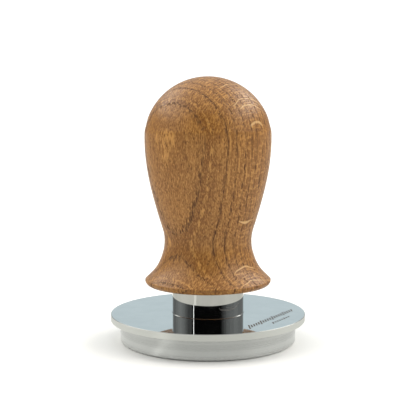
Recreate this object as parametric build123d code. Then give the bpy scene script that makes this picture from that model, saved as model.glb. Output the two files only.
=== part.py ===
from build123d import *
import math
import os

# A self-levelling, spring-loaded espresso tamper, in millimetres.
# +Z is up and the origin is the centre of the tamping face, on which the tamper stands.
# A round steel base carries a centre column. A flanged guide sleeve slides on the column, so that its
# levelling plate can rest on the rim of a filter basket while the base goes down into it. The oak handle
# holds a spring housing, and pushes the column through a calibrated main spring.

# ---- Driving dimensions ----

# Tamping base
BASE_DIA = 58.5
BASE_HEIGHT = 7.2
BASE_FOOT_CHAMFER = 0.5
BASE_TOP_CHAMFER = 0.25
SPIGOT_DIA = 10.0
SPIGOT_LENGTH = 5.0
SPIGOT_HOLE_SPARE = 0.3
SPIGOT_CLEARANCE = 0.03
SPIGOT_LEAD_CHAMFER = 0.5

# Bumper ring, let into the top of the base
BUMPER_SECTION = 1.6
BUMPER_MEAN_DIA = 42.0
BUMPER_PROUD = 0.03
BUMPER_CLEARANCE = 0.1

# Centre column
COLUMN_DIA = 16.0
HEAD_STEP = 1.4
HEAD_THICKNESS = 3.5
HEAD_CHAMFER = 0.3
HEX_ACROSS_FLATS = 6.0
HEX_DEPTH = 5.0
CLIP_GROOVE_DEPTH = 0.4

# Levelling plate and guide sleeve
PLATE_OVERHANG = 3.25
PLATE_THICKNESS = 2.1
PLATE_LIFT_GAP = 0.05
PLATE_EDGE_CHAMFER = 0.12
SEAT_DROP = 0.1
SEAT_INNER_GAP = 0.35
FOOT_LIP = 0.15
SLEEVE_WALL = 2.45
SLEEVE_ENTRY = 0.85
SLEEVE_TOP_CHAMFER = 0.3
BUSH_WALL = 1.5
BUSH_RUNNING_CLEARANCE = 0.05
BUSH_BODY_LENGTH = 4.0
BUSH_FLANGE_WIDTH = 1.4
BUSH_FLANGE_THICKNESS = 1.0

# Travels
LEVEL_TRAVEL = 5.0
PRESS_TRAVEL = 3.5
PARTING_GAP = 1.0

# Levelling spring and its retaining parts
SPRING_WASHER_THICKNESS = 0.5
SPRING_WASHER_WIDTH = 2.2
SPRING_WASHER_CLEARANCE = 0.1
LEVEL_WIRE = 0.9
LEVEL_TURNS = 5.0
LEVEL_SPRING_CLEARANCE = 0.5
LEVEL_SPRING_RESERVE = 1.5
STOP_WASHER_THICKNESS = 1.0
STOP_WASHER_WIDTH = 2.4
STOP_WASHER_CLEARANCE = 0.1
CLIP_THICKNESS = 1.0
CLIP_WIDTH = 1.9
CLIP_GAP_ANGLE = 50.0
CLIP_LUG_DIA = 2.6
CLIP_LUG_HOLE_DIA = 1.3
CLIP_GROOVE_SPARE = 0.1

# Spring housing and guide nut
NUT_CLEARANCE_BELOW = 0.6
NUT_FLANGE_THICKNESS = 1.5
NUT_BODY_LENGTH = 5.0
NUT_RUNNING_CLEARANCE = 0.035
NUT_THREAD_CLEARANCE = 0.03
SPANNER_HOLE_DIA = 1.8
SPANNER_HOLE_DEPTH = 2.5
SPANNER_HOLE_COUNT = 4
HEAD_CLEARANCE = 0.3
HOUSING_WALL = 1.8
HOUSING_TOP_THICKNESS = 3.0
HOUSING_EDGE_CHAMFER = 0.4
GLUE_GAP = 0.05
GLUE_GROOVE_DEPTH = 0.4
GLUE_GROOVE_WIDTH = 1.5
GLUE_GROOVE_COUNT = 4
RETURN_RING_THICKNESS = 1.0
RETURN_RING_SIDE_GAP = 0.3

# Closed and ground ends, the same on both springs
CLOSED_TURNS = 1.0
CLOSED_PITCH_FACTOR = 1.06

# Main spring and its seats
MAIN_WIRE = 2.2
MAIN_TURNS = 6.0
MAIN_SPRING_CLEARANCE = 0.5
MAIN_SPRING_RESERVE = 4.3
THRUST_WASHER_THICKNESS = 1.0
SPRING_SEAT_THICKNESS = 1.5
SEAT_SPIGOT_LENGTH = 2.0
SEAT_SPIGOT_CLEARANCE = 0.4
SEAT_GAP = 0.02

# Anchor screw, which ties the housing to the wood
SCREW_SHANK_DIA = 4.0
SCREW_HEAD_DIA = 7.6
SCREW_LENGTH_WANTED = 10.0
SCREW_POINT_LENGTH = 2.5
SCREW_CLEARANCE = 0.1
SCREW_RECESS_WIDTH = 1.2
SCREW_RECESS_SPAN = 4.4
SCREW_RECESS_DEPTH = 1.4
CROWN_COVER = 4.0

# Oak handle. Each shape point is the part of the way down the stretch, and the part of the swell there.
HANDLE_HEIGHT = 68.95
WAIST_WALL = 2.95
WAIST_HEIGHT = 14.65
BULB_SWELL = 6.45
CROWN_HEIGHT = 20.4
TAPER_SHAPE = ((0.335, 0.838), (0.69, 0.392), (0.84, 0.155))
FLARE_SWELL = 6.5
FLARE_SHAPE = ((0.35, 0.12), (0.69, 0.44))
FLARE_ANGLE = 44.0
RIM_RADIUS = 1.65
RIM_EDGE_RADIUS = 0.45
MOUTH_CLEARANCE = 0.4
MOUTH_CHAMFER = 0.5
MOUTH_SPARE_DEPTH = 0.4

# ---- Sizes and heights that follow ----

column_r = COLUMN_DIA / 2
base_r = BASE_DIA / 2
plate_r = base_r + PLATE_OVERHANG
bush_bore_r = column_r + BUSH_RUNNING_CLEARANCE
bush_r = bush_bore_r + BUSH_WALL
sleeve_r = bush_r + SLEEVE_WALL
head_r = column_r + HEAD_STEP
housing_bore_r = head_r + HEAD_CLEARANCE
housing_r = housing_bore_r + HOUSING_WALL
nut_bore_r = column_r + NUT_RUNNING_CLEARANCE
handle_bore_r = housing_r + GLUE_GAP
mouth_r = max(sleeve_r + MOUTH_CLEARANCE, handle_bore_r)
waist_r = handle_bore_r + WAIST_WALL
bulb_r = waist_r + BULB_SWELL
flare_r = waist_r + FLARE_SWELL

base_top = BASE_HEIGHT
plate_bottom = base_top + PLATE_LIFT_GAP
plate_top = plate_bottom + PLATE_THICKNESS
handle_bottom = plate_top + LEVEL_TRAVEL + PRESS_TRAVEL + PARTING_GAP
handle_top = handle_bottom + HANDLE_HEIGHT
sleeve_top = handle_bottom + SLEEVE_ENTRY
bush_top = sleeve_top + BUSH_FLANGE_THICKNESS

level_spring_length = LEVEL_TRAVEL + LEVEL_TURNS * LEVEL_WIRE + LEVEL_SPRING_RESERVE
spring_washer_bottom = bush_top + SEAT_GAP
spring_washer_top = spring_washer_bottom + SPRING_WASHER_THICKNESS
level_spring_bottom = spring_washer_top
level_spring_top = level_spring_bottom + level_spring_length
stop_washer_bottom = level_spring_top + SEAT_GAP
clip_bottom = stop_washer_bottom + STOP_WASHER_THICKNESS
clip_top = clip_bottom + CLIP_THICKNESS

nut_bottom = clip_top + PRESS_TRAVEL + NUT_CLEARANCE_BELOW
housing_bottom = nut_bottom + NUT_FLANGE_THICKNESS
nut_top = housing_bottom + NUT_BODY_LENGTH
return_ring_top = nut_top + RETURN_RING_THICKNESS
head_bottom = return_ring_top + SEAT_GAP
head_top = head_bottom + HEAD_THICKNESS
thrust_washer_top = head_top + THRUST_WASHER_THICKNESS

main_spring_length = PRESS_TRAVEL + MAIN_TURNS * MAIN_WIRE + MAIN_SPRING_RESERVE
main_spring_bottom = thrust_washer_top + SEAT_GAP
main_spring_top = main_spring_bottom + main_spring_length
seat_bottom = main_spring_top + SEAT_GAP
seat_top = seat_bottom + SPRING_SEAT_THICKNESS
housing_ceiling = seat_top + SEAT_GAP
housing_top = housing_ceiling + HOUSING_TOP_THICKNESS
screw_room = handle_top - CROWN_COVER - housing_ceiling
screw_length = min(SCREW_LENGTH_WANTED, screw_room)

main_spring_r = housing_bore_r - MAIN_SPRING_CLEARANCE
level_spring_bore_r = column_r + LEVEL_SPRING_CLEARANCE


# ---- Shared shapes ----


def turned(*outline):
    """A solid turned round the Z axis from the straight-sided half section (radius, height), ..."""
    section = make_face(Polyline(*outline, close=True))
    return revolve(Plane.XZ * section, Axis.Z)


def ring(inner_r, outer_r, bottom, top):
    """A plain washer or tube."""
    return turned((inner_r, bottom), (outer_r, bottom), (outer_r, top), (inner_r, top))


def post(radius, bottom, top):
    """A plain solid cylinder on the Z axis."""
    return Pos(0, 0, bottom) * Cylinder(
        radius, top - bottom, align=(Align.CENTER, Align.CENTER, Align.MIN)
    )


def compression_spring(mean_r, wire_dia, bottom, top, turns):
    """A round-wire coil with closed ends that are ground flat, a quarter of the wire into the coil.

    The pitch grows smoothly from that of the closed end turns to that of the working turns.
    """
    grind = wire_dia / 4
    low = bottom + wire_dia / 2 - grind
    high = top - wire_dia / 2 + grind
    closed_pitch = wire_dia * CLOSED_PITCH_FACTOR

    def opening(turn):
        from_end = min(turn, turns - turn) - 0.75 * CLOSED_TURNS
        part = min(1, max(0, 2 * from_end / CLOSED_TURNS))
        return part * part * (3 - 2 * part)

    steps_per_turn = 12
    substeps = 10
    step_count = round(turns * steps_per_turn)
    opened = [0]
    for index in range(step_count * substeps):
        step = turns / (step_count * substeps)
        opened.append(opened[-1] + step * opening((index + 0.5) * step))
    extra_pitch = (high - low - turns * closed_pitch) / opened[-1]
    points = []
    for index in range(step_count + 1):
        turn = turns * index / step_count
        height = low + closed_pitch * turn + extra_pitch * opened[index * substeps]
        angle = 2 * math.pi * turn
        points.append((mean_r * math.cos(angle), mean_r * math.sin(angle), height))
    path = Spline(*points)
    start = Plane(origin=path @ 0, z_dir=path % 0)
    coil = sweep(start * Circle(wire_dia / 2), path=path, is_frenet=True)
    return coil & ring(mean_r - wire_dia, mean_r + wire_dia, bottom, top)


# ---- Base and column: the fixed body ----


def tamping_base():
    """Solid round base: flat tamping face, broken edges, a blind hole for the column and a ring groove."""
    foot, brim = BASE_FOOT_CHAMFER, BASE_TOP_CHAMFER
    body = turned(
        (0, 0),
        (base_r - foot, 0),
        (base_r, foot),
        (base_r, base_top - brim),
        (base_r - brim, base_top),
        (0, base_top),
    )
    hole_depth = SPIGOT_LENGTH + SPIGOT_HOLE_SPARE
    body -= post(SPIGOT_DIA / 2 + SPIGOT_CLEARANCE, base_top - hole_depth, base_top)
    groove_half = BUMPER_SECTION / 2 + BUMPER_CLEARANCE
    groove_floor = base_top + BUMPER_PROUD - BUMPER_SECTION
    mean_r = BUMPER_MEAN_DIA / 2
    return body - ring(mean_r - groove_half, mean_r + groove_half, groove_floor, base_top)


def bumper_ring():
    """Round-section rubber ring on which the levelling plate lands."""
    centre = base_top + BUMPER_PROUD - BUMPER_SECTION / 2
    return Pos(0, 0, centre) * Torus(BUMPER_MEAN_DIA / 2, BUMPER_SECTION / 2)


def centre_column():
    """Column with a threaded spigot below, a clip groove, and a head with a hexagon socket above."""
    spigot_r, lead = SPIGOT_DIA / 2, SPIGOT_LEAD_CHAMFER
    spigot_bottom = base_top - SPIGOT_LENGTH
    groove_r = column_r - CLIP_GROOVE_DEPTH
    column = turned(
        (0, spigot_bottom),
        (spigot_r - lead, spigot_bottom),
        (spigot_r, spigot_bottom + lead),
        (spigot_r, base_top),
        (column_r, base_top),
        (column_r, clip_bottom),
        (groove_r, clip_bottom),
        (groove_r, clip_top + CLIP_GROOVE_SPARE),
        (column_r, clip_top + CLIP_GROOVE_SPARE),
        (column_r, head_bottom),
        (head_r, head_bottom),
        (head_r, head_top - HEAD_CHAMFER),
        (head_r - HEAD_CHAMFER, head_top),
        (0, head_top),
    )
    hexagon = RegularPolygon(HEX_ACROSS_FLATS / 2, 6, major_radius=False)
    return column - extrude(Pos(0, 0, head_top) * hexagon, -HEX_DEPTH)


def stop_washer():
    """Washer that the levelling spring pushes up against."""
    inner_r = column_r + STOP_WASHER_CLEARANCE
    return ring(inner_r, inner_r + STOP_WASHER_WIDTH, stop_washer_bottom, clip_bottom)


def retaining_clip():
    """Open spring-steel clip in the column's groove, with two lugs for circlip pliers."""
    inner_r = column_r - CLIP_GROOVE_DEPTH
    outer_r = inner_r + CLIP_WIDTH
    clip = ring(inner_r, outer_r, clip_bottom, clip_top)
    reach = 2 * outer_r
    half_gap = math.radians(CLIP_GAP_ANGLE / 2)
    wedge = Polyline(
        (0, 0),
        (reach * math.cos(half_gap), reach * math.sin(half_gap)),
        (reach * math.cos(half_gap), -reach * math.sin(half_gap)),
        close=True,
    )
    clip -= extrude(Pos(0, 0, clip_bottom) * make_face(wedge), CLIP_THICKNESS)
    lug_r = inner_r + CLIP_LUG_DIA / 2
    lug_turn = math.degrees(half_gap + CLIP_LUG_DIA / 2 / lug_r)
    for side in (1, -1):
        lug_place = Rot(0, 0, side * lug_turn) * Pos(lug_r, 0, 0)
        clip += lug_place * post(CLIP_LUG_DIA / 2, clip_bottom, clip_top)
        clip -= lug_place * post(CLIP_LUG_HOLE_DIA / 2, clip_bottom, clip_top)
    return clip


# ---- Levelling plate and sleeve ----


def levelling_plate():
    """Flange that rests on the basket's rim. Its seat ring stands a little below the inner underside."""
    seat = plate_bottom - SEAT_DROP
    seat_inner_r = base_r + SEAT_INNER_GAP
    edge = PLATE_EDGE_CHAMFER
    return turned(
        (sleeve_r, plate_bottom),
        (seat_inner_r, plate_bottom),
        (seat_inner_r, seat),
        (plate_r - edge, seat),
        (plate_r, seat + edge),
        (plate_r, plate_top - edge),
        (plate_r - edge, plate_top),
        (sleeve_r + FOOT_LIP, plate_top),
        (sleeve_r, plate_top + FOOT_LIP),
    )


def guide_sleeve():
    """Polished tube, pressed into the plate, that enters the handle's mouth."""
    lead = SLEEVE_TOP_CHAMFER
    return turned(
        (bush_r, plate_bottom),
        (sleeve_r, plate_bottom),
        (sleeve_r, sleeve_top - lead),
        (sleeve_r - lead, sleeve_top),
        (bush_r, sleeve_top),
    )


def lower_bush():
    """Plain bearing bush at the foot of the sleeve."""
    return ring(bush_bore_r, bush_r, plate_bottom, plate_bottom + BUSH_BODY_LENGTH)


def upper_bush():
    """Flanged bearing bush at the top of the sleeve. The levelling spring stands on its flange."""
    flange_r = bush_r + BUSH_FLANGE_WIDTH
    return turned(
        (bush_bore_r, sleeve_top - BUSH_BODY_LENGTH),
        (bush_r, sleeve_top - BUSH_BODY_LENGTH),
        (bush_r, sleeve_top),
        (flange_r, sleeve_top),
        (flange_r, bush_top),
        (bush_bore_r, bush_top),
    )


def spring_washer():
    """Thin washer between the levelling spring and the bush, on which the sleeve turns."""
    inner_r = column_r + SPRING_WASHER_CLEARANCE
    return ring(inner_r, inner_r + SPRING_WASHER_WIDTH, spring_washer_bottom, spring_washer_top)


def levelling_spring():
    """Light spring that keeps the plate down on the rim."""
    mean_r = level_spring_bore_r + LEVEL_WIRE / 2
    return compression_spring(mean_r, LEVEL_WIRE, level_spring_bottom, level_spring_top, LEVEL_TURNS)


# ---- Main spring stack ----


def thrust_washer():
    """Slippery washer on the column's head, on which the main spring and the handle turn."""
    return ring(HEX_ACROSS_FLATS / 2 + 1.5, head_r, head_top + SEAT_GAP, thrust_washer_top)


def main_spring():
    """Calibrated tamping spring."""
    mean_r = main_spring_r - MAIN_WIRE / 2
    return compression_spring(mean_r, MAIN_WIRE, main_spring_bottom, main_spring_top, MAIN_TURNS)


# ---- Handle assembly ----


def handle_outline():
    """The outer line of the turned handle, from its crown down to its underside, as edges in a half plane."""
    bulb_z = handle_top - CROWN_HEIGHT
    waist_z = handle_bottom + WAIST_HEIGHT
    rim_z = handle_bottom + RIM_RADIUS
    angle = math.radians(FLARE_ANGLE)
    flare_end = (
        flare_r - RIM_EDGE_RADIUS * (1 - math.sin(angle)),
        rim_z + RIM_EDGE_RADIUS * math.cos(angle),
    )
    crown_angles = [math.radians(step * 10) for step in range(10)]
    crown_points = [
        (bulb_r * math.sin(turn), bulb_z + CROWN_HEIGHT * math.cos(turn)) for turn in crown_angles
    ]
    crown = Spline(*crown_points, tangents=[(1, 0), (0, -1)])
    taper_points = [
        (waist_r + BULB_SWELL * swell, bulb_z - (bulb_z - waist_z) * down)
        for down, swell in TAPER_SHAPE
    ]
    taper = Spline(
        (bulb_r, bulb_z), *taper_points, (waist_r, waist_z), tangents=[(0, -1), (0, -1)]
    )
    flare_points = [
        (waist_r + FLARE_SWELL * swell, waist_z - (waist_z - rim_z) * down)
        for down, swell in FLARE_SHAPE
    ]
    flare = Spline(
        (waist_r, waist_z),
        *flare_points,
        flare_end,
        tangents=[(0, -1), (math.cos(angle), -math.sin(angle))],
    )
    edge = TangentArc(flare_end, (flare_r, rim_z), tangent=(math.cos(angle), -math.sin(angle)))
    rim = TangentArc((flare_r, rim_z), (flare_r - RIM_RADIUS, handle_bottom), tangent=(0, -1))
    return [crown, taper, flare, edge, rim]


def handle():
    """Turned oak handle: bulb, waist and flared skirt, with a stepped blind bore from below."""
    mouth_top = sleeve_top + LEVEL_TRAVEL + PRESS_TRAVEL + MOUTH_SPARE_DEPTH
    pilot_r = SCREW_SHANK_DIA / 2 + SCREW_CLEARANCE
    pilot_top = housing_ceiling + screw_length + SCREW_CLEARANCE
    bore_top = housing_top + GLUE_GAP
    inner = Polyline(
        (flare_r - RIM_RADIUS, handle_bottom),
        (mouth_r + MOUTH_CHAMFER, handle_bottom),
        (mouth_r, handle_bottom + MOUTH_CHAMFER),
        (mouth_r, mouth_top),
        (handle_bore_r, mouth_top + mouth_r - handle_bore_r),
        (handle_bore_r, bore_top),
        (pilot_r, bore_top),
        (pilot_r, pilot_top),
        (0, pilot_top),
        (0, handle_top),
    )
    section = make_face(Curve() + handle_outline() + inner)
    return revolve(Plane.XZ * section, Axis.Z)


def spring_housing():
    """Steel cup glued into the handle, with glue grooves outside and a countersunk hole in its top."""
    edge = HOUSING_EDGE_CHAMFER
    cup = turned(
        (housing_bore_r, housing_bottom),
        (housing_r, housing_bottom),
        (housing_r, housing_top - edge),
        (housing_r - edge, housing_top),
        (0, housing_top),
        (0, housing_ceiling),
        (housing_bore_r, housing_ceiling),
    )
    groove_pitch = (housing_top - housing_bottom) / (GLUE_GROOVE_COUNT + 1)
    for index in range(GLUE_GROOVE_COUNT):
        middle = housing_bottom + groove_pitch * (index + 1)
        low, high = middle - GLUE_GROOVE_WIDTH / 2, middle + GLUE_GROOVE_WIDTH / 2
        cup -= ring(housing_r - GLUE_GROOVE_DEPTH, housing_r + 1, low, high)
    return cup - screw_form(SCREW_CLEARANCE)


def screw_form(allowance):
    """The anchor screw's outer form, larger all round by the allowance. Its flat head faces down."""
    head_r = SCREW_HEAD_DIA / 2 + allowance
    shank_r = SCREW_SHANK_DIA / 2 + allowance
    return turned(
        (0, housing_ceiling),
        (head_r, housing_ceiling),
        (shank_r, housing_ceiling + head_r - shank_r),
        (shank_r, housing_ceiling + screw_length - SCREW_POINT_LENGTH),
        (0, housing_ceiling + screw_length),
    )


def anchor_screw():
    """Countersunk wood screw with a cross recess, driven up into the oak from inside the housing."""
    screw = screw_form(0)
    for turn in (0, 90):
        bar = Box(SCREW_RECESS_SPAN, SCREW_RECESS_WIDTH, 2 * SCREW_RECESS_DEPTH)
        screw -= Pos(0, 0, housing_ceiling) * Rot(0, 0, turn) * bar
    return screw


def guide_nut():
    """Bronze nut that closes the housing and guides the column, with holes for a pin spanner."""
    thread_r = housing_bore_r - NUT_THREAD_CLEARANCE
    nut = turned(
        (nut_bore_r, nut_bottom),
        (housing_r, nut_bottom),
        (housing_r, housing_bottom),
        (thread_r, housing_bottom),
        (thread_r, nut_top),
        (nut_bore_r, nut_top),
    )
    hole_circle_r = (nut_bore_r + housing_r) / 2
    for index in range(SPANNER_HOLE_COUNT):
        place = Rot(0, 0, 360 * index / SPANNER_HOLE_COUNT) * Pos(hole_circle_r, 0, 0)
        nut -= place * post(SPANNER_HOLE_DIA / 2, nut_bottom, nut_bottom + SPANNER_HOLE_DEPTH)
    return nut


def return_ring():
    """Flat rubber ring that stops the column's head on the nut without a knock."""
    inner_r = nut_bore_r + RETURN_RING_SIDE_GAP
    outer_r = housing_bore_r - RETURN_RING_SIDE_GAP
    return ring(inner_r, outer_r, nut_top, return_ring_top)


def spring_seat():
    """Top seat of the main spring, with a spigot that centres the coil."""
    spigot_r = main_spring_r - MAIN_WIRE - SEAT_SPIGOT_CLEARANCE
    outer_r = housing_bore_r - HEAD_CLEARANCE
    return turned(
        (0, seat_bottom - SEAT_SPIGOT_LENGTH),
        (spigot_r, seat_bottom - SEAT_SPIGOT_LENGTH),
        (spigot_r, seat_bottom),
        (outer_r, seat_bottom),
        (outer_r, seat_top),
        (0, seat_top),
    )


PARTS = [
    tamping_base,
    bumper_ring,
    centre_column,
    stop_washer,
    retaining_clip,
    levelling_plate,
    guide_sleeve,
    lower_bush,
    upper_bush,
    spring_washer,
    levelling_spring,
    thrust_washer,
    main_spring,
    handle,
    spring_housing,
    anchor_screw,
    guide_nut,
    return_ring,
    spring_seat,
]

os.makedirs("parts", exist_ok=True)
for make in PARTS:
    export_step(make(), f"parts/{make.__name__}.step")
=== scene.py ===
import functools
import math

import bpy
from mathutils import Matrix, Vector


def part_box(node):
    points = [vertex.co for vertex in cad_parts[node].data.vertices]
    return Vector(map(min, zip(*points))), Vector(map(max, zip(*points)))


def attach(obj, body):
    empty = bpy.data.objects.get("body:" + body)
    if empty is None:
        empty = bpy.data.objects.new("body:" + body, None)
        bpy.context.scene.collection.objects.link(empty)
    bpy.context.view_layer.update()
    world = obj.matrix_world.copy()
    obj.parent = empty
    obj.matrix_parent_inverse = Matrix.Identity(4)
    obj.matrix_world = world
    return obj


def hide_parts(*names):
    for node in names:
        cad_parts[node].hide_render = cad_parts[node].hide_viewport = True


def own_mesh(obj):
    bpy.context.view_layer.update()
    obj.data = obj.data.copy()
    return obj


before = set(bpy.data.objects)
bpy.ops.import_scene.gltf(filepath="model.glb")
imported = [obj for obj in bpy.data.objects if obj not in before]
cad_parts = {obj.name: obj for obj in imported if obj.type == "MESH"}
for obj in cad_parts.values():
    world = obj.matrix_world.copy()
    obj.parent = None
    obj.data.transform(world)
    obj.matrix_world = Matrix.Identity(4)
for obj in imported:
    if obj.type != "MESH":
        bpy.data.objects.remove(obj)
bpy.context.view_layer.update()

# An espresso tamper: oiled oak handle, mirror-polished levelling plate and sleeve, finely turned
# base. Metres, +Z up, standing on its tamping face at the origin.

MM = 0.001
scene = bpy.context.scene
scene.view_settings.view_transform = "Standard"


# ---- Helpers ----

# The setting that holds a node's mode. The mode is written after the node's kind.
MODES = {"Math": "operation", "MapRange": "interpolation_type", "Mix": "data_type"}
PLUS, MINUS, TIMES = "Math ADD", "Math SUBTRACT", "Math MULTIPLY"
TIMES_PLUS = "Math MULTIPLY_ADD"
# takes a value from one range to another, and stops at its ends
EASED = "MapRange SMOOTHSTEP"
# mixes two colours: input 0 is the share of the second, 6 and 7 are the colours, output 2 the mix
MIXED = "Mix RGBA"


def colour(hex_code):
    """A linear RGBA colour from an sRGB hex code."""
    values = [int(hex_code[i : i + 2], 16) / 255 for i in (1, 3, 5)]
    linear = [v / 12.92 if v <= 0.04045 else ((v + 0.055) / 1.055) ** 2.4 for v in values]
    return (*linear, 1.0)


def add(tree, kind, *inputs, out=0, **settings):
    """Adds a node of this kind, gives it its settings, and sets or links its inputs, which come in
    order or as one dictionary. Gives back the output that out names, or the node for None."""
    kind, _, mode = kind.partition(" ")
    families = ("ShaderNode", "GeometryNode", "Node")
    made = tree.nodes.new(next(f + kind for f in families if hasattr(bpy.types, f + kind)))
    if mode:
        settings[MODES[kind]] = mode
    for name, value in settings.items():
        setattr(made, name, value)
    by_name = inputs and isinstance(inputs[0], dict)
    for key, value in inputs[0].items() if by_name else enumerate(inputs):
        if isinstance(value, bpy.types.NodeSocket):
            tree.links.new(value, made.inputs[key])
        else:
            made.inputs[key].default_value = value
    return made if out is None else made.outputs[out]


def new_material(name, **constants):
    """A material with only its shader, its node tree and the shader itself. The shader's constants
    are given with _ for each space."""
    material = bpy.data.materials.new(name)
    material.use_nodes = True
    tree = material.node_tree
    tree.nodes.clear()
    shader = add(tree, "BsdfPrincipled", out=None)
    for key, value in constants.items():
        shader.inputs[key.replace("_", " ")].default_value = value
    add(tree, "OutputMaterial", {"Surface": shader.outputs[0]}, out=None)
    return material, tree, shader


def millimetres(tree, turn_deg=0.0):
    """Object coordinates in millimetres, turned about the axis."""
    place = add(tree, "TexCoord", out="Object")
    inputs = {"Vector": place, "Scale": (1 / MM,) * 3, "Rotation": (0, 0, math.radians(turn_deg))}
    return add(tree, "Mapping", inputs)


def round_axis(tree, place):
    """How far a place lies from the axis, its height, and the two as one place, which the marks of
    a lathe follow."""
    x, y, height = add(tree, "SeparateXYZ", place, out=None).outputs
    radius = add(tree, "Math SQRT", add(tree, TIMES_PLUS, x, x, add(tree, TIMES, y, y)))
    return radius, height, add(tree, "CombineXYZ", {"X": radius, "Z": height})


def cloud(tree, place, size, detail=2.0, roughness=0.5, offset=(0, 0, 0)):
    """Noise whose lumps are about this size, in millimetres each way."""
    cells = {"Vector": place, "Scale": tuple(1 / v for v in size), "Location": offset}
    cell = add(tree, "Mapping", cells)
    inputs = {"Vector": cell, "Scale": 1.0, "Detail": detail, "Roughness": roughness}
    return add(tree, "TexNoise", inputs)


def dress(tree, shader, tint, rough, relief=None, strength=1.0, depth_mm=0.02):
    """Gives a shader its colour and its roughness, and raises the relief on it to this depth."""
    tree.links.new(tint, shader.inputs["Base Color"])
    tree.links.new(rough, shader.inputs["Roughness"])
    if relief:
        inputs = {"Height": relief, "Strength": strength, "Distance": depth_mm * MM}
        tree.links.new(add(tree, "Bump", inputs), shader.inputs["Normal"])


def paint(node, material):
    """Gives a CAD node its finished material."""
    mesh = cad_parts[node].data
    mesh.materials.clear()
    mesh.materials.append(material)


# ---- Studio ----

BENCH_RADIUS = 4.0
# The bench has a hole that the tamping base covers, so that the base can be looked at from below
BENCH_HOLE = 0.0286
BENCH_CORNERS = 96
SKY_BRIGHTNESS = 1.25
SCREEN_RADIUS = 6.0
SHEET_STEP_DEG = 4
SIDE_PANEL_TOP_DEG = 25
# Each screen: where it starts and ends, in degrees round from the camera and positive to its right,
# how steeply its lower and upper edge are seen, in degrees up, its colour and its brightness
SCREENS = {
    "screen_behind": (153, 207, 0, 49, "#d4e3e8", 1.0),
    "softbox_right": (58, 150, 26, 52, "#fffdf8", 4.5),
    "softbox_left": (-150, -62, 26, 54, "#fffdf8", 3.35),
    "screen_front_low": (-44, 42, 0, 15, "#0a0a0a", 1.0),
    "screen_front_high": (-44, 42, 15, 60, "#646667", 1.0),
    "strip_light": (-47.2, -45.9, 0, 49, "#ffffff", 3.6),
}
# The grey screens at the sides: where each starts and ends, and how bright it is
SIDE_PANELS = (
    (42, 46, 0.02),
    (46, 52, 0.06),
    (52, 60, 0.11),
    (60, 66, 0.18),
    (66, 75, 0.2),
    (75, 92, 0.25),
    (92, 112, 0.3),
    (112, 153, 0.26),
    (-153, -126, 0.21),
    (-126, -114, 0.27),
    (-114, -104, 0.32),
    (-104, -94, 0.35),
    (-94, -85, 0.3),
    (-85, -77, 0.24),
    (-77, -69, 0.16),
    (-69, -53, 0.09),
    (-53, -47.2, 0.015),
    (-45.9, -44, 0.03),
)
# Pale glowing cards that lie round the foot: where each starts and ends, and how bright it is. Only
# reflections see them: a painted reflection of the bench in the metal, dimmer in front and brighter
# in one narrow strip.
CARDS = (
    (-150, -110, 0.86),
    (-110, -88, 0.9),
    (-88, -74, 0.92),
    (-74, -64, 0.91),
    (-64, -57, 0.89),
    (-57, -42, 0.87),
    (-42, -35, 1.18),
    (-35, -18, 0.81),
    (-18, 12, 0.79),
    (12, 36, 0.81),
    (36, 44, 0.83),
    (44, 52, 0.86),
    (52, 60, 0.89),
    (60, 84, 0.91),
    (84, 105, 0.89),
    (105, 150, 0.86),
)
# They lie in two rings: where each starts and ends, its share of that brightness, and its colour
CARD_RINGS = (
    (0.031, 0.075, 1.0, "#fbfcf7"),
    (0.075, 3.0, 0.89, "#fbf9ee"),
)
CARD_HEIGHT = 0.1 * MM
CAMERA_PLACE = (0.0, -0.3196, 0.0804)
CAMERA_DOWN_DEG = 6.43
LENS_MM, SENSOR_MM = 83.74, 36.0


def light_source(name, hex_code, strength):
    """A screen that shines evenly."""
    material = bpy.data.materials.new(name)
    material.use_nodes = True
    tree = material.node_tree
    tree.nodes.clear()
    light = add(tree, "Emission", {"Color": colour(hex_code), "Strength": strength})
    add(tree, "OutputMaterial", {"Surface": light}, out=None)
    return material


def stage_piece(name, points, faces, material):
    """A part of the studio, which isn't part of the tamper."""
    mesh = bpy.data.meshes.new(name)
    mesh.from_pydata(points, [], faces)
    mesh.materials.append(material)
    made = bpy.data.objects.new(name, mesh)
    scene.collection.objects.link(made)
    return made


def bent_sheet(name, start, end, edges, material):
    """A sheet between two edges, each given by its radius and height, bent round the object. The
    camera doesn't see it."""
    steps = max(2, math.ceil((end - start) / SHEET_STEP_DEG))
    turns = [math.radians(start + (end - start) * i / steps) for i in range(steps + 1)]
    points = [
        (radius * math.sin(a), -radius * math.cos(a), z) for a in turns for radius, z in edges
    ]
    faces = [(2 * i, 2 * i + 1, 2 * i + 3, 2 * i + 2) for i in range(steps)]
    sheet = stage_piece(name, points, faces, material)
    sheet.visible_camera = False
    return sheet


def make_bench():
    """A matt white bench with a hole under the tamper."""
    board, _, shader = new_material("matt_white_board", Roughness=0.9, Specular_IOR_Level=0.0)
    shader.inputs["Base Color"].default_value = colour("#f6f6f4")
    turns = [2 * math.pi * i / BENCH_CORNERS for i in range(BENCH_CORNERS)]
    edges = [
        (r * math.cos(a), r * math.sin(a), 0.0) for r in (BENCH_HOLE, BENCH_RADIUS) for a in turns
    ]
    neighbours = [(i, (i + 1) % BENCH_CORNERS) for i in range(BENCH_CORNERS)]
    faces = [(i, BENCH_CORNERS + i, BENCH_CORNERS + j, j) for i, j in neighbours]
    stage_piece("floor", edges, faces, board)


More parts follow.
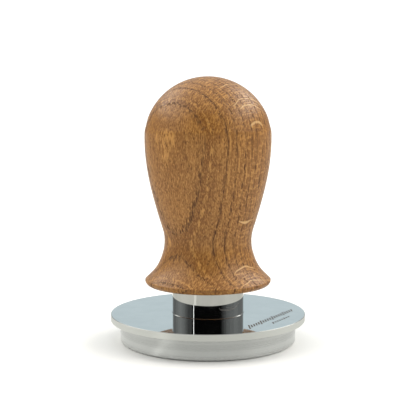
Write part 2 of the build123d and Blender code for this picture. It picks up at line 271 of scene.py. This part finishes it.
def make_studio():
    """The bench, a white sky, upright screens all round, and cards round the foot."""
    world = bpy.data.worlds.new("studio_world")
    scene.world = world
    world.use_nodes = True
    sky = world.node_tree.nodes["Background"]
    sky.inputs["Color"].default_value = colour("#ffffff")
    sky.inputs["Strength"].default_value = SKY_BRIGHTNESS
    make_bench()

    screens = dict(SCREENS)
    for index, (start, end, strength) in enumerate(SIDE_PANELS):
        panel = (start, end, 0, SIDE_PANEL_TOP_DEG, "#fbfffe", strength)
        screens[f"side_panel_{index}"] = panel
    for name, (start, end, low, high, hex_code, strength) in screens.items():
        heights = [SCREEN_RADIUS * math.tan(math.radians(up)) for up in (low, high)]
        upright = [(SCREEN_RADIUS, height) for height in heights]
        bent_sheet(name, start, end, upright, light_source(name, hex_code, strength))
    for ring, (inner, outer, share, hex_code) in enumerate(CARD_RINGS):
        flat = [(inner, CARD_HEIGHT), (outer, CARD_HEIGHT)]
        for index, (start, end, strength) in enumerate(CARDS):
            name = f"card_{ring}_{index}"
            shine = light_source(name, hex_code, strength * share)
            card = bent_sheet(name, start, end, flat, shine)
            # the cards show only in reflections, as a painted reflection of the bench
            card.visible_diffuse = False
            card.visible_shadow = False


def make_camera():
    """The camera, which looks a little down on the tamper from the front."""
    data = bpy.data.cameras.new("camera")
    data.sensor_width = SENSOR_MM
    data.lens = LENS_MM
    data.clip_start = 0.01
    camera = bpy.data.objects.new("camera", data)
    scene.collection.objects.link(camera)
    camera.location = CAMERA_PLACE
    camera.rotation_euler = (math.radians(90 - CAMERA_DOWN_DEG), 0, 0)
    scene.camera = camera


# ---- Oak ----

# Which way the rings grow outwards, in degrees round from +X, and how far off the tree's heart lies
RING_FACING_DEG = -130.0
HEART_DISTANCE_MM = 170.0
# Where each year's spring wood starts, outwards from the tamper's axis
RINGS_MM = (-24, -20.8, -17.9, -15.2, -12.2, -9.5, -6.8, -4, -1, 1.9, 4, 6.5, 9.4, 12.2, 16.9, 21.8)
# Below the second height the rings lie further in, by the last number from the first height down
LEAN_MM = (34.0, 62.0, 2.2)
# The broad rays that reach the surface: where each lies along the rings, its height, and half its
# length
BROAD_RAYS_MM = (
    (10.5, 85.0, 1.7),
    (16.1, 79.6, 1.7),
    (17.6, 78.2, 1.2),
    (20.1, 73.2, 1.8),
    (16.1, 40.9, 0.9),
    (16.1, 26.4, 1.5),
    (19.3, 22.3, 1.2),
    (-13.0, 82.0, 1.6),
    (-17.5, 30.0, 1.4),
    (-18.5, 60.0, 2.5),
)
OAK_BODY = "#ae793d"
OAK_SHADE = "#794d1e"
OAK_AUTUMN = "#7c4d1d"
OAK_GOLD = "#d09850"
OAK_PORE = "#55320f"
OAK_RAY = "#e8bd80"
# The size of what the grain is made of: across the rings, along them, and along the grain
LARGE_VESSEL_MM = (0.62, 0.62, 4.5)
SMALL_VESSEL_MM = (0.68, 0.68, 1.8)
FINE_RAY_MM = (3.0, 0.26, 0.9)
FIBRE_MM = (0.36, 0.36, 14)
SOFT_CELLS_MM = (0.26, 0.45, 1.1)


def oak():
    """European oak, turned, sanded fine and oiled. The eye sees a dark line of open pores at each
    year's growth, gold flecks between, a few pale broad rays, and a soft sheen with no clear
    highlight. The pores and flecks are drawn a little coarser than real ones, so that they show."""
    material, tree, shader = new_material("oiled_oak", IOR=1.48, Specular_IOR_Level=0.37)
    put = functools.partial(add, tree)
    # X outwards from the heart of the tree, Y along the rings and Z along the grain
    grain = millimetres(tree, -RING_FACING_DEG)
    outward, along_ring, height = put("SeparateXYZ", grain, out=None).outputs
    figure = functools.partial(cloud, tree, grain)

    # growth rings: shells about the heart, a little uneven
    reach = put(PLUS, outward, HEART_DISTANCE_MM)
    from_heart = put("Math SQRT", put(TIMES_PLUS, reach, reach, put("Math POWER", along_ring, 2.0)))
    wander = put(TIMES_PLUS, figure((14, 14, 40), detail=1.0), 1.0, -0.5 - HEART_DISTANCE_MM)
    wobble = put(TIMES_PLUS, figure((1.6, 1.6, 6)), 0.8, -0.4)
    # the trunk leans, so the rings lie further in towards the foot
    lean = put(EASED, height, *LEAN_MM, 0.0)
    depth = put(PLUS, put(PLUS, from_heart, lean), put(PLUS, wander, wobble))
    years = 0.0
    year_start = RINGS_MM[0]
    for inner, outer in zip(RINGS_MM, RINGS_MM[1:]):
        years = put(PLUS, put("MapRange LINEAR", depth, inner, outer), years)
        passed = put("Math GREATER_THAN", depth, outer)
        year_start = put(TIMES_PLUS, passed, outer - inner, year_start)
    # how much of the year's wood has grown, in millimetres and as a share of the year
    grown = put(MINUS, depth, year_start)
    season = put("Math FRACT", years)
    year = put("Math FLOOR", years)
    year_tone = put("TexWhiteNoise", {"W": year}, noise_dimensions="1D", out="Value")
    spring = put(EASED, grown, 0.4, 1.0, 1.0, 0.0)
    autumn = put(EASED, season, 0.25, 0.85)

    def vessels(size, radius, offset):
        """The open ends and sides of long tubes, whose radius is a share of their spacing."""
        cells = {"Vector": grain, "Scale": tuple(1 / v for v in size), "Location": offset}
        nearest = {"Vector": put("Mapping", cells), "Scale": 1.0}
        from_middle = put("TexVoronoi", nearest, feature="F1", out="Distance")
        return put(EASED, from_middle, radius * 0.6, radius, 1.0, 0.0)

    # open pores: long vessels along the grain, crowded in the spring wood and few in the rest
    large = put(TIMES, vessels(LARGE_VESSEL_MM, 0.52, (0, 0, 0)), spring)
    patches = put(EASED, figure((1.6, 1.6, 5), offset=(4, 4, 4)), 0.38, 0.55)
    small = put(TIMES, vessels(SMALL_VESSEL_MM, 0.31, (7.3, 1.1, 4.0)), put(TIMES, patches, 0.8))
    pores = put("Math MAXIMUM", large, small)

    # fine rays: thin sheets that run outwards, seen end on as flecks, and best where the knife met
    # the end of the grain
    ray_sheets = figure(FINE_RAY_MM, detail=1.0, offset=(3, 5, 1))
    fine_rays = put(EASED, ray_sheets, 0.53, 0.62)
    ray_shade = put(EASED, ray_sheets, 0.36, 0.47, 1.0, 0.0)
    facing = put("NewGeometry", out="Normal")
    end_grain = put("Math ABSOLUTE", put("SeparateXYZ", facing, out="Z"))
    fibre = figure(FIBRE_MM, roughness=0.6, offset=(1, 2, 3))
    soft_cells = put(EASED, figure(SOFT_CELLS_MM, roughness=0.6, offset=(9, 4, 2)), 0.5, 0.64)

    # a gold line of soft cells just before some years' spring wood
    gold_line = put(TIMES, put(EASED, season, 0.68, 0.75), put(EASED, season, 0.8, 0.86, 1.0, 0.0))
    gold_gaps = put(EASED, figure((0.7, 0.7, 2.5), detail=3.0, offset=(6, 1, 5)), 0.42, 0.58)
    # the first row of each year's pores, which reads as a dark line
    first_row = put(TIMES, put(EASED, grown, 0.0, 0.1), put(EASED, grown, 0.25, 0.45, 1.0, 0.0))
    first_row = put(TIMES, first_row, put(EASED, year_tone, 0.0, 1.0, 0.55, 1.0))
    row_gaps = put(EASED, figure((0.6, 0.6, 2.6), offset=(8, 8, 1)), 0.38, 0.54)

    broad = 0.0
    bent = put(TIMES_PLUS, figure((6, 6, 6), detail=1.0), 1.2, -0.6)
    shifted = put(PLUS, along_ring, bent)
    for place, middle, half in BROAD_RAYS_MM:
        aside = put("Math ABSOLUTE", put(MINUS, shifted, place))
        above = put("Math ABSOLUTE", put(MINUS, height, middle))
        sheet = put(EASED, aside, 0.05, 0.16, 1.0, 0.0)
        window = put(EASED, above, half * 0.4, half, 1.0, 0.0)
        broad = put(TIMES_PLUS, sheet, window, broad)

    body = colour(OAK_SHADE)
    for share, hex_code in (
        (put(EASED, fibre, 0.32, 0.68), OAK_BODY),
        (put(TIMES, autumn, put(EASED, year_tone, 0.0, 1.0, 0.35, 1.0)), OAK_AUTUMN),
        (put(TIMES, soft_cells, 0.3), OAK_GOLD),
        (put(TIMES, ray_shade, put(EASED, end_grain, 0.3, 0.8, 0.3, 0.6)), OAK_AUTUMN),
        (put(TIMES, fine_rays, put(EASED, end_grain, 0.3, 0.8, 0.38, 0.7)), OAK_GOLD),
        (put(TIMES, put(TIMES, gold_line, gold_gaps), 0.66), OAK_GOLD),
        (put(TIMES, put(TIMES, first_row, row_gaps), 0.85), OAK_PORE),
        (put(TIMES, pores, 0.85), OAK_PORE),
        (put(TIMES, broad, 0.6, use_clamp=True), OAK_RAY),
    ):
        body = put(MIXED, {0: share, 6: body, 7: colour(hex_code)}, out=2)

    rough = put(TIMES_PLUS, fine_rays, -0.06, put(TIMES_PLUS, pores, 0.25, 0.42))
    relief = put(TIMES_PLUS, fibre, 0.25, put(TIMES, pores, -1.0))
    dress(tree, shader, body, rough, relief, strength=0.6, depth_mm=0.08)
    return material


# ---- Metals, plastic and rubber ----


def turned_metal(name, hex_code, roughness, groove_mm, grooves, anisotropy, wear=0.5):
    """A metal turned on a lathe or drawn through a die. The eye sees fine grooves that run round
    it and stretch each highlight across them. groove_mm is their spacing, drawn coarse enough to
    show, and grooves how deep they look."""
    material, tree, shader = new_material(
        name, Metallic=1.0, Anisotropic=anisotropy, Anisotropic_Rotation=0.25
    )
    put = functools.partial(add, tree)
    place = millimetres(tree)
    _, _, section = round_axis(tree, place)
    fine = cloud(tree, section, (groove_mm,) * 3)
    broad = cloud(tree, section, (groove_mm * 9,) * 3, detail=1.0)
    marks = cloud(tree, place, (5, 5, 5), detail=3.0, roughness=0.6)
    rough = put(TIMES_PLUS, fine, 0.12, roughness - 0.06)
    rough = put(TIMES_PLUS, put(EASED, marks, 0.4, 0.7), 0.08 * wear, rough)
    dull = put(MIXED, {0: 0.12, 6: colour(hex_code), 7: colour("#000000")}, out=2)
    tint = put(MIXED, {0: put(EASED, broad, 0.3, 0.7), 6: dull, 7: colour(hex_code)}, out=2)
    dress(tree, shader, tint, rough, fine, strength=grooves)
    tree.links.new(put("Tangent", direction_type="RADIAL", axis="Z"), shader.inputs["Tangent"])
    return material


def polished_steel(name, edge_radius=None, face_height=None):
    """Stainless steel, mirror polished on a wheel. The eye sees a clean grey mirror with the
    faintest haze of polishing lines. A plate of this radius, whose face has this height, both in
    millimetres, is left satin from the lathe round its edge."""
    material, tree, shader = new_material(name, Metallic=1.0)
    put = functools.partial(add, tree)
    place = millimetres(tree)
    haze = cloud(tree, place, (9, 9, 9), detail=3.0, roughness=0.6)
    lines = cloud(tree, place, (6, 0.12, 6))
    rough = put(TIMES_PLUS, lines, 0.012, put(EASED, haze, 0.35, 0.75, 0.018, 0.045))
    light, dark = colour("#d0d1d0"), colour("#c9cbca")
    tint = put(MIXED, {0: put(EASED, haze, 0.3, 0.7), 6: dark, 7: light}, out=2)
    if not edge_radius:
        dress(tree, shader, tint, rough)
        return material
    radius, height, section = round_axis(tree, place)
    satin = put(EASED, radius, edge_radius - 0.16, edge_radius - 0.1)
    # the corner above the edge is broken, and its colour is darkened to a grey: painted shade that
    # tones down the bright line it catches from the lights
    corner_painted_shade = put(TIMES, put(EASED, height, face_height - 0.16, face_height - 0.1), satin)
    # the lip that stands on the face round the sleeve's foot is left rough, and its colour is
    # darkened as painted shade that tones down its highlights
    lip_rough_and_painted_shade = put(EASED, height, face_height + 0.02, face_height + 0.05)
    # the satin edge keeps its own colour; the corner and the lip get painted shade
    for share, hex_code in ((satin, "#dcddd9"), (corner_painted_shade, "#8f908d"), (lip_rough_and_painted_shade, "#7c7d7b")):
        tint = put(MIXED, {0: share, 6: tint, 7: colour(hex_code)}, out=2)
    rough = put("Math MAXIMUM", rough, put(TIMES, put("Math MAXIMUM", satin, lip_rough_and_painted_shade), 0.34))
    grooves = cloud(tree, section, (0.16,) * 3)
    dress(tree, shader, tint, rough, put(TIMES, grooves, satin), strength=0.35)
    return material


def drawn_wire(name, hex_code, hex_code_blued):
    """Spring steel wire, drawn, coiled and stress-relieved. The eye sees fine lines along the
    wire, and a straw to blue tint left by the heat."""
    material, tree, shader = new_material(name, Metallic=1.0)
    put = functools.partial(add, tree)
    along = put("Attribute", attribute_name="along_wire_mm", out="Fac")
    around = put("Attribute", attribute_name="around_wire", out="Fac")
    wire = put("CombineXYZ", {"X": along, "Y": around})
    lines = cloud(tree, wire, (7.0, 0.03, 1.0), detail=3.0)
    heat = cloud(tree, wire, (11.0, 0.6, 1.0), offset=(3, 0, 0))
    blued, scored = put(EASED, heat, 0.35, 0.7), put(TIMES, put(EASED, lines, 0.55, 0.75), 0.35)
    tint = put(MIXED, {0: blued, 6: colour(hex_code), 7: colour(hex_code_blued)}, out=2)
    tint = put(MIXED, {0: scored, 6: tint, 7: colour("#2e2c2b")}, out=2)
    dress(tree, shader, tint, put(EASED, lines, 0.3, 0.7, 0.24, 0.42), lines, strength=0.3)
    return material


def turned_plastic(name, hex_code, hex_code_worn, roughness):
    """Acetal, turned from bar. The eye sees a soft waxy white with faint turning lines and a
    little grey where it rubs."""
    material, tree, shader = new_material(
        name, IOR=1.48, Subsurface_Weight=0.08, Subsurface_Scale=0.5 * MM
    )
    place = millimetres(tree)
    _, _, section = round_axis(tree, place)
    lines = cloud(tree, section, (0.15, 1.0, 0.15))
    rubbed = add(tree, EASED, cloud(tree, place, (4, 4, 2), detail=3.0), 0.5, 0.72)
    tint = add(tree, MIXED, {0: rubbed, 6: colour(hex_code), 7: colour(hex_code_worn)}, out=2)
    rough = add(tree, TIMES_PLUS, lines, 0.14, roughness - 0.07)
    dress(tree, shader, tint, rough, lines, strength=0.3)
    return material


def moulded_rubber():
    """Nitrile rubber, moulded. The eye sees a dull black with a fine grain, greyer where it is
    dusty."""
    material, tree, shader = new_material("moulded_rubber", IOR=1.52, Specular_IOR_Level=0.3)
    place = millimetres(tree)
    grain = cloud(tree, place, (0.14, 0.14, 0.14), detail=3.0)
    dust = add(tree, EASED, cloud(tree, place, (3, 3, 2), detail=3.0), 0.45, 0.75)
    tint = add(tree, MIXED, {0: dust, 6: colour("#161616"), 7: colour("#292827")}, out=2)
    rough = add(tree, EASED, grain, 0.3, 0.7, 0.55, 0.8)
    dress(tree, shader, tint, rough, grain, strength=0.4, depth_mm=0.03)
    return material


def etched_steel():
    """Stainless steel darkened by an electric etch. The eye sees a matt grey-brown, uneven at the
    grain."""
    material, tree, shader = new_material("etched_steel", Metallic=0.4)
    grain = cloud(tree, millimetres(tree), (0.3, 0.3, 0.3), detail=3.0)
    tint = add(tree, MIXED, {0: grain, 6: colour("#4c4946"), 7: colour("#77726d")}, out=2)
    dress(tree, shader, tint, add(tree, EASED, grain, 0.3, 0.7, 0.5, 0.75))
    return material


# ---- Pieces made by Geometry Nodes ----

# The closed turns at each end of a coil, the turns over which it then opens, and the closed turns'
# pitch in wire thicknesses, which leaves a little room
END_TURNS = 0.75
OPENING_TURNS = 0.5
CLOSED_PITCH = 1.06
POINTS_PER_TURN = 56
WIRE_CORNERS = 20
SHARP_EDGE_DEG = 35
# In a ruling one tick in so many is long, and the others are this much of its length
TICKS_TO_A_LONG_ONE = 5.0
SHORT_TICK = 0.65


def new_tree(name, sizes):
    """A node tree with a geometry output, the sockets of its input node, and the identifier of
    each named input. sizes maps each input's name to its starting value."""
    tree = bpy.data.node_groups.new(name, "GeometryNodeTree")
    tree.interface.new_socket("Geometry", in_out="OUTPUT", socket_type="NodeSocketGeometry")
    kinds = {int: "Int", float: "Float", bpy.types.Material: "Material"}
    identifiers = {}
    for label, value in sizes.items():
        kind = "NodeSocket" + kinds[type(value)]
        made = tree.interface.new_socket(label, in_out="INPUT", socket_type=kind)
        if not isinstance(value, bpy.types.Material):
            made.default_value = value
        identifiers[label] = made.identifier
    return tree, add(tree, "GroupInput", out=None).outputs, identifiers


def finish_tree(tree, geometry, material):
    """Ends a tree in plain, painted faces."""
    plain = add(tree, "RealizeInstances", {0: geometry})
    painted = add(tree, "SetMaterial", {"Geometry": plain, "Material": material})
    add(tree, "GroupOutput", {"Geometry": painted}, out=None)


def grow(name, tree, identifiers, sizes):
    """Runs a tree with these sizes, and leaves a plain mesh object."""
    seed = bpy.data.objects.new(name + "_seed", bpy.data.meshes.new(name + "_seed"))
    scene.collection.objects.link(seed)
    modifier = seed.modifiers.new(name, "NODES")
    modifier.node_group = tree
    for label, value in sizes.items():
        modifier[identifiers[label]] = value
    bpy.context.view_layer.update()
    graph = bpy.context.evaluated_depsgraph_get()
    mesh = bpy.data.meshes.new_from_object(seed.evaluated_get(graph), depsgraph=graph)
    bpy.data.objects.remove(seed, do_unlink=True)
    mesh.name = name
    mesh.set_sharp_from_angle(angle=math.radians(SHARP_EDGE_DEG))
    piece = bpy.data.objects.new(name, mesh)
    scene.collection.objects.link(piece)
    return piece


def coil_tree(material):
    """A compression spring of round wire with closed ends ground flat."""
    sizes = {
        "Mean Radius": 8.0 * MM,
        "Wire Radius": 1.0 * MM,
        "Bottom": 0.0,
        "Top": 20.0 * MM,
        "Turns": 6.0,
        "Points": 300,
        "Material": material,
    }
    tree, given, identifiers = new_tree("ground_end_coil", sizes)
    put = functools.partial(add, tree)
    wire = given["Wire Radius"]
    straight = put("CurvePrimitiveLine")
    line = put("ResampleCurve", {"Curve": straight, "Count": given["Points"]})
    index = put("InputIndex")
    along = put("Math DIVIDE", index, put(MINUS, given["Points"], 1.0))
    turn = put(TIMES, along, given["Turns"])
    # the pitch grows smoothly from that of the closed end turns to that of the working turns
    from_end = put("Math MINIMUM", turn, put(MINUS, given["Turns"], turn))
    opening = put(EASED, put(MINUS, from_end, END_TURNS), 0.0, OPENING_TURNS)
    on_points = {"data_type": "FLOAT", "domain": "POINT"}
    opened = put("AccumulateField", {0: opening}, **on_points, out=None).outputs
    # ground a quarter of the wire into each end
    low = put(TIMES_PLUS, wire, 0.5, given["Bottom"])
    high = put(TIMES_PLUS, wire, -0.5, given["Top"])
    closed_pitch = put(TIMES, wire, 2 * CLOSED_PITCH)
    spare = put(MINUS, put(MINUS, high, low), put(TIMES, closed_pitch, given["Turns"]))
    risen = put(TIMES_PLUS, closed_pitch, turn, low)
    share = put("Math DIVIDE", opened["Trailing"], opened["Total"])
    height = put(TIMES_PLUS, spare, share, risen)
    angle = put(TIMES, turn, 2 * math.pi)
    x = put(TIMES, put("Math COSINE", angle), given["Mean Radius"])
    y = put(TIMES, put("Math SINE", angle), given["Mean Radius"])
    place = put("CombineXYZ", {"X": x, "Y": y, "Z": height})
    path = put("SetPosition", {"Geometry": line, "Position": place})
    # where each point lies along and around the wire, for its drawing lines
    length_mm = put(TIMES, put("SplineParameter", out="Length"), 1 / MM)
    along_wire = {"Geometry": path, "Name": "along_wire_mm", "Value": length_mm}
    path = put("StoreNamedAttribute", along_wire, **on_points)
    circle = put("CurvePrimitiveCircle", {"Resolution": WIRE_CORNERS, "Radius": wire})
    part = put("Math PINGPONG", put("SplineParameter", out="Factor"), 0.5)
    around_wire = {"Geometry": circle, "Name": "around_wire", "Value": part}
    circle = put("StoreNamedAttribute", around_wire, **on_points)
    swept = {"Curve": path, "Profile Curve": circle, "Fill Caps": True}
    body = put("CurveToMesh", swept)
    spot = put("SeparateXYZ", {0: put("InputPosition")}, out=None).outputs
    ground = put("Math MINIMUM", put("Math MAXIMUM", spot["Z"], given["Bottom"]), given["Top"])
    cut = put("CombineXYZ", {"X": spot["X"], "Y": spot["Y"], "Z": ground})
    body = put("SetPosition", {"Geometry": body, "Position": cut})
    finish_tree(tree, body, given["Material"])
    return tree, identifiers


def make_coil(name, node, wire_mm, turns, material, coil):
    """The spring that stands for a CAD spring, in the same place."""
    low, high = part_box(node)
    sizes = {
        "Mean Radius": high[0] - wire_mm * MM / 2,
        "Wire Radius": wire_mm * MM / 2,
        "Bottom": low[2],
        "Top": high[2],
        "Turns": turns,
        "Points": round(turns * POINTS_PER_TURN) + 1,
        "Material": material,
    }
    return grow(name, *coil, sizes)


def ruling_tree(material):
    """Two rows of slanted ticks on a flat face, like a workshop ruling: a long row, and a short one
    outside it. The etch is a film a hundredth of a millimetre thick."""
    sizes = {
        "Ticks": 20,
        "Outer Ticks": 8,
        "Spacing": 1.5 * MM,
        "Tick Width": 0.5 * MM,
        "Tick Length": 5.0 * MM,
        "Slant": math.radians(-53.8),
        "Film": 0.01 * MM,
        "Distance": 22.9 * MM,
        "Row Gap": 3.6 * MM,
        "Shift": 2.3 * MM,
        "Face Height": 9.35 * MM,
        "Facing": 1.0,
        "Material": material,
    }
    tree, given, identifiers = new_tree("tick_ruling", sizes)
    put = functools.partial(add, tree)

    def row(count, length, distance):
        """A row of ticks on a line this far from the axis, their longest ones of this length."""
        reach = put(TIMES, given["Spacing"], put(MINUS, count, 1.0))
        first = put(TIMES_PLUS, reach, -0.5, given["Shift"])
        places = {"X": first, "Y": put(TIMES, distance, -1.0), "Z": given["Face Height"]}
        start = put("CombineXYZ", places)
        step = put("CombineXYZ", {"X": given["Spacing"]})
        points = {"Count": count, "Start Location": start, "Offset": step}
        line = put("MeshLine", points, mode="OFFSET")
        index = put("InputIndex")
        longer = put("Math LESS_THAN", put("Math MODULO", index, TICKS_TO_A_LONG_ONE), 0.5)
        tall = put(TIMES, length, put(TIMES_PLUS, longer, 1.0 - SHORT_TICK, SHORT_TICK))
        scale = put("CombineXYZ", given["Tick Width"], tall, given["Film"])
        tick = put("MeshCube")
        slant = put("CombineXYZ", {"Z": given["Slant"]})
        ticks = {"Points": line, "Instance": tick, "Scale": scale, "Rotation": slant}
        return put("InstanceOnPoints", ticks)

    outer_length = put(TIMES, given["Tick Length"], 0.5)
    outer_distance = put(PLUS, given["Distance"], given["Row Gap"])
    long_row = row(given["Ticks"], given["Tick Length"], given["Distance"])
    short_row = row(given["Outer Ticks"], outer_length, outer_distance)
    both = put("JoinGeometry", {0: long_row}, out=None)
    tree.links.new(short_row, both.inputs[0])
    turn = put("CombineXYZ", {"Z": given["Facing"]})
    placed = put("Transform", {"Geometry": both.outputs[0], "Rotation": turn})
    finish_tree(tree, placed, given["Material"])
    return tree, identifiers


# ---- The tamper ----

make_camera()
make_studio()

# The face of the levelling plate, under the lip that stands on it round the sleeve's foot
FOOT_LIP_MM = 0.15
_, plate_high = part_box("levelling_plate")
plate_radius_mm = plate_high[0] / MM
plate_face_mm = plate_high[2] / MM - FOOT_LIP_MM

# What each metal is made of, how rough it is, how far apart its tool marks are drawn, how deep they
# look, and how much they stretch the highlights
finely_turned = turned_metal(
    "finely_turned_stainless_steel", "#cfd0ce", 0.28, 0.14, 0.12, 0.8, wear=0.1
)
ground = turned_metal("ground_stainless_steel", "#cfd1d2", 0.16, 0.12, 0.2, 0.5)
tumbled = turned_metal("tumbled_stainless_steel", "#c4c5c6", 0.34, 0.4, 0.3, 0.2, wear=1.0)
turned = turned_metal("turned_stainless_steel", "#b9bbb9", 0.3, 0.3, 0.6, 0.6)
zinc_plated = turned_metal("zinc_plated_steel", "#b9b9ae", 0.36, 0.35, 0.3, 0.2, wear=1.0)
tempered = turned_metal("tempered_spring_steel", "#7d7e80", 0.34, 0.4, 0.3, 0.2, wear=1.0)
brass = turned_metal("turned_brass", "#c9a55c", 0.27, 0.3, 0.5, 0.6)
bronze = turned_metal("turned_bronze", "#b58657", 0.3, 0.3, 0.5, 0.6)
acetal = turned_plastic("turned_acetal", "#e9e7df", "#c9c8c2", 0.42)
slippery_plastic = turned_plastic("slippery_white_plastic", "#f0efe9", "#cfceca", 0.38)
rubber = moulded_rubber()
spring_wire = drawn_wire("drawn_spring_wire", "#a5a6a8", "#7f858c")
etch = etched_steel()

FINISHES = {
    "handle": oak(),
    "tamping_base": finely_turned,
    "levelling_plate": polished_steel("mirror_polished_plate", plate_radius_mm, plate_face_mm),
    "guide_sleeve": polished_steel("mirror_polished_sleeve"),
    "bumper_ring": rubber,
    "centre_column": ground,
    "stop_washer": tumbled,
    "retaining_clip": tempered,
    "spring_washer": tumbled,
    "lower_bush": acetal,
    "upper_bush": acetal,
    "thrust_washer": slippery_plastic,
    "return_ring": rubber,
    "spring_seat": brass,
    "spring_housing": turned,
    "anchor_screw": zinc_plated,
    "guide_nut": bronze,
}
for node, material in FINISHES.items():
    paint(node, material)

# Each spring: the CAD spring that it stands for, its wire in millimetres, its turns, the body it
# rides on, the joint that presses it, which end stays still, and the share of its length that is
# left at the joint's limit
SPRINGS = {
    "tamping_spring_coil": (
        "main_spring", 2.2, 6.0, "press_carriage", "handle_press", "top", 17.5 / 21
    ),
    "levelling_spring_coil": (
        "levelling_spring", 0.9, 5.0, "levelling_carriage", "level_slide", "bottom", 6 / 11
    ),
}
coil = coil_tree(spring_wire)
for name, (node, wire_mm, turns, body, joint, still_end, keep) in SPRINGS.items():
    spring = make_coil(name, node, wire_mm, turns, spring_wire, coil)
    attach(spring, body)
    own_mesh(spring)
    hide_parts(node)

RULING_FACING_DEG = 57.8
ruling_sizes = {
    "Face Height": plate_face_mm * MM,
    "Facing": math.radians(RULING_FACING_DEG),
    "Material": etch,
}
ruling = grow("etched_tick_ruling", *ruling_tree(etch), ruling_sizes)
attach(ruling, "leveller")
